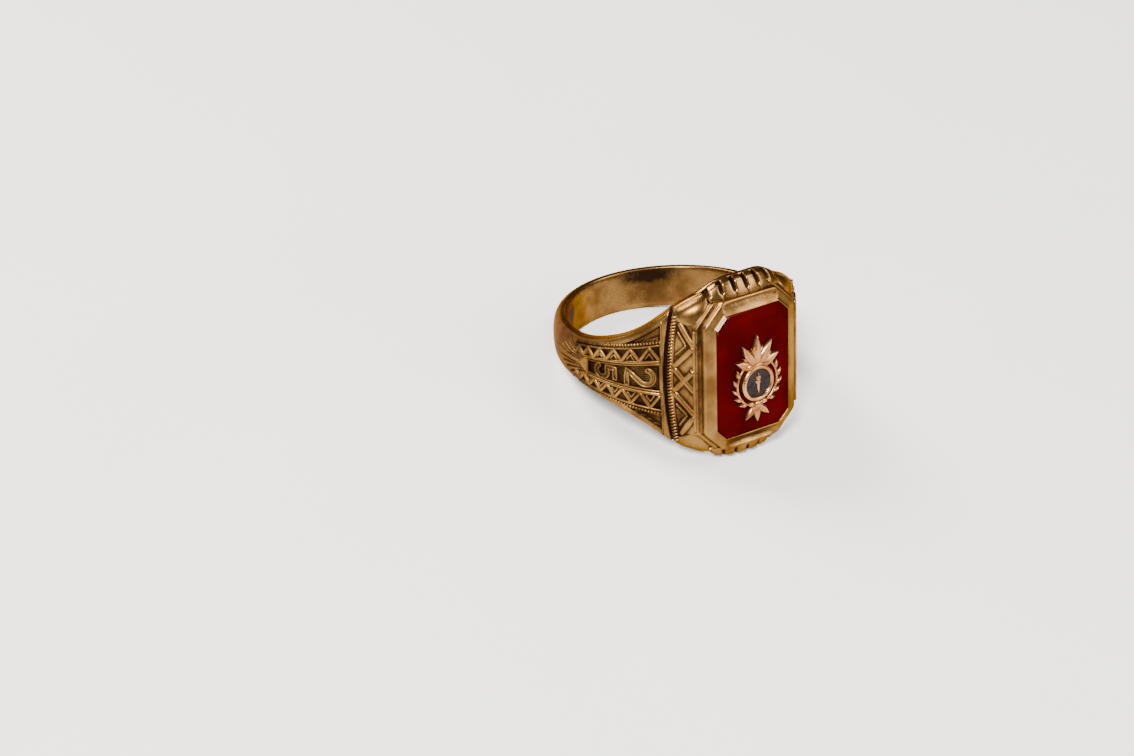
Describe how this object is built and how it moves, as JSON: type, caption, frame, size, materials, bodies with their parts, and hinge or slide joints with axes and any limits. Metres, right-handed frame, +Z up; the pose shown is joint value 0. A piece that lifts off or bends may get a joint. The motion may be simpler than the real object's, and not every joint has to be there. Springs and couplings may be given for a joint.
{
  "type": "class ring",
  "caption": "Gold signet-style class ring with relief shoulders, a raised cut-corner bezel holding a dark red stone, and a small applied emblem.",
  "frame": {"origin": "on the surface that the ring lies on, under the middle of its box", "axes": "+Z up; -Y is the side that the head and the stone face; +X across the finger; the finger's axis leans 18 degrees from +Z towards +Y"},
  "size_m": [0.0196, 0.0216, 0.0145],
  "materials": {
    "gold": "worn polished gold with dark recesses",
    "red_stone": "polished, nearly opaque dark red",
    "rose_gold": "polished rose gold",
    "black_enamel": "glossy black enamel"
  },
  "bodies": {
    "root": {"band": "gold", "stone": "red_stone", "emblem": "rose_gold", "enamel": "black_enamel"}
  },
  "joints": []
}
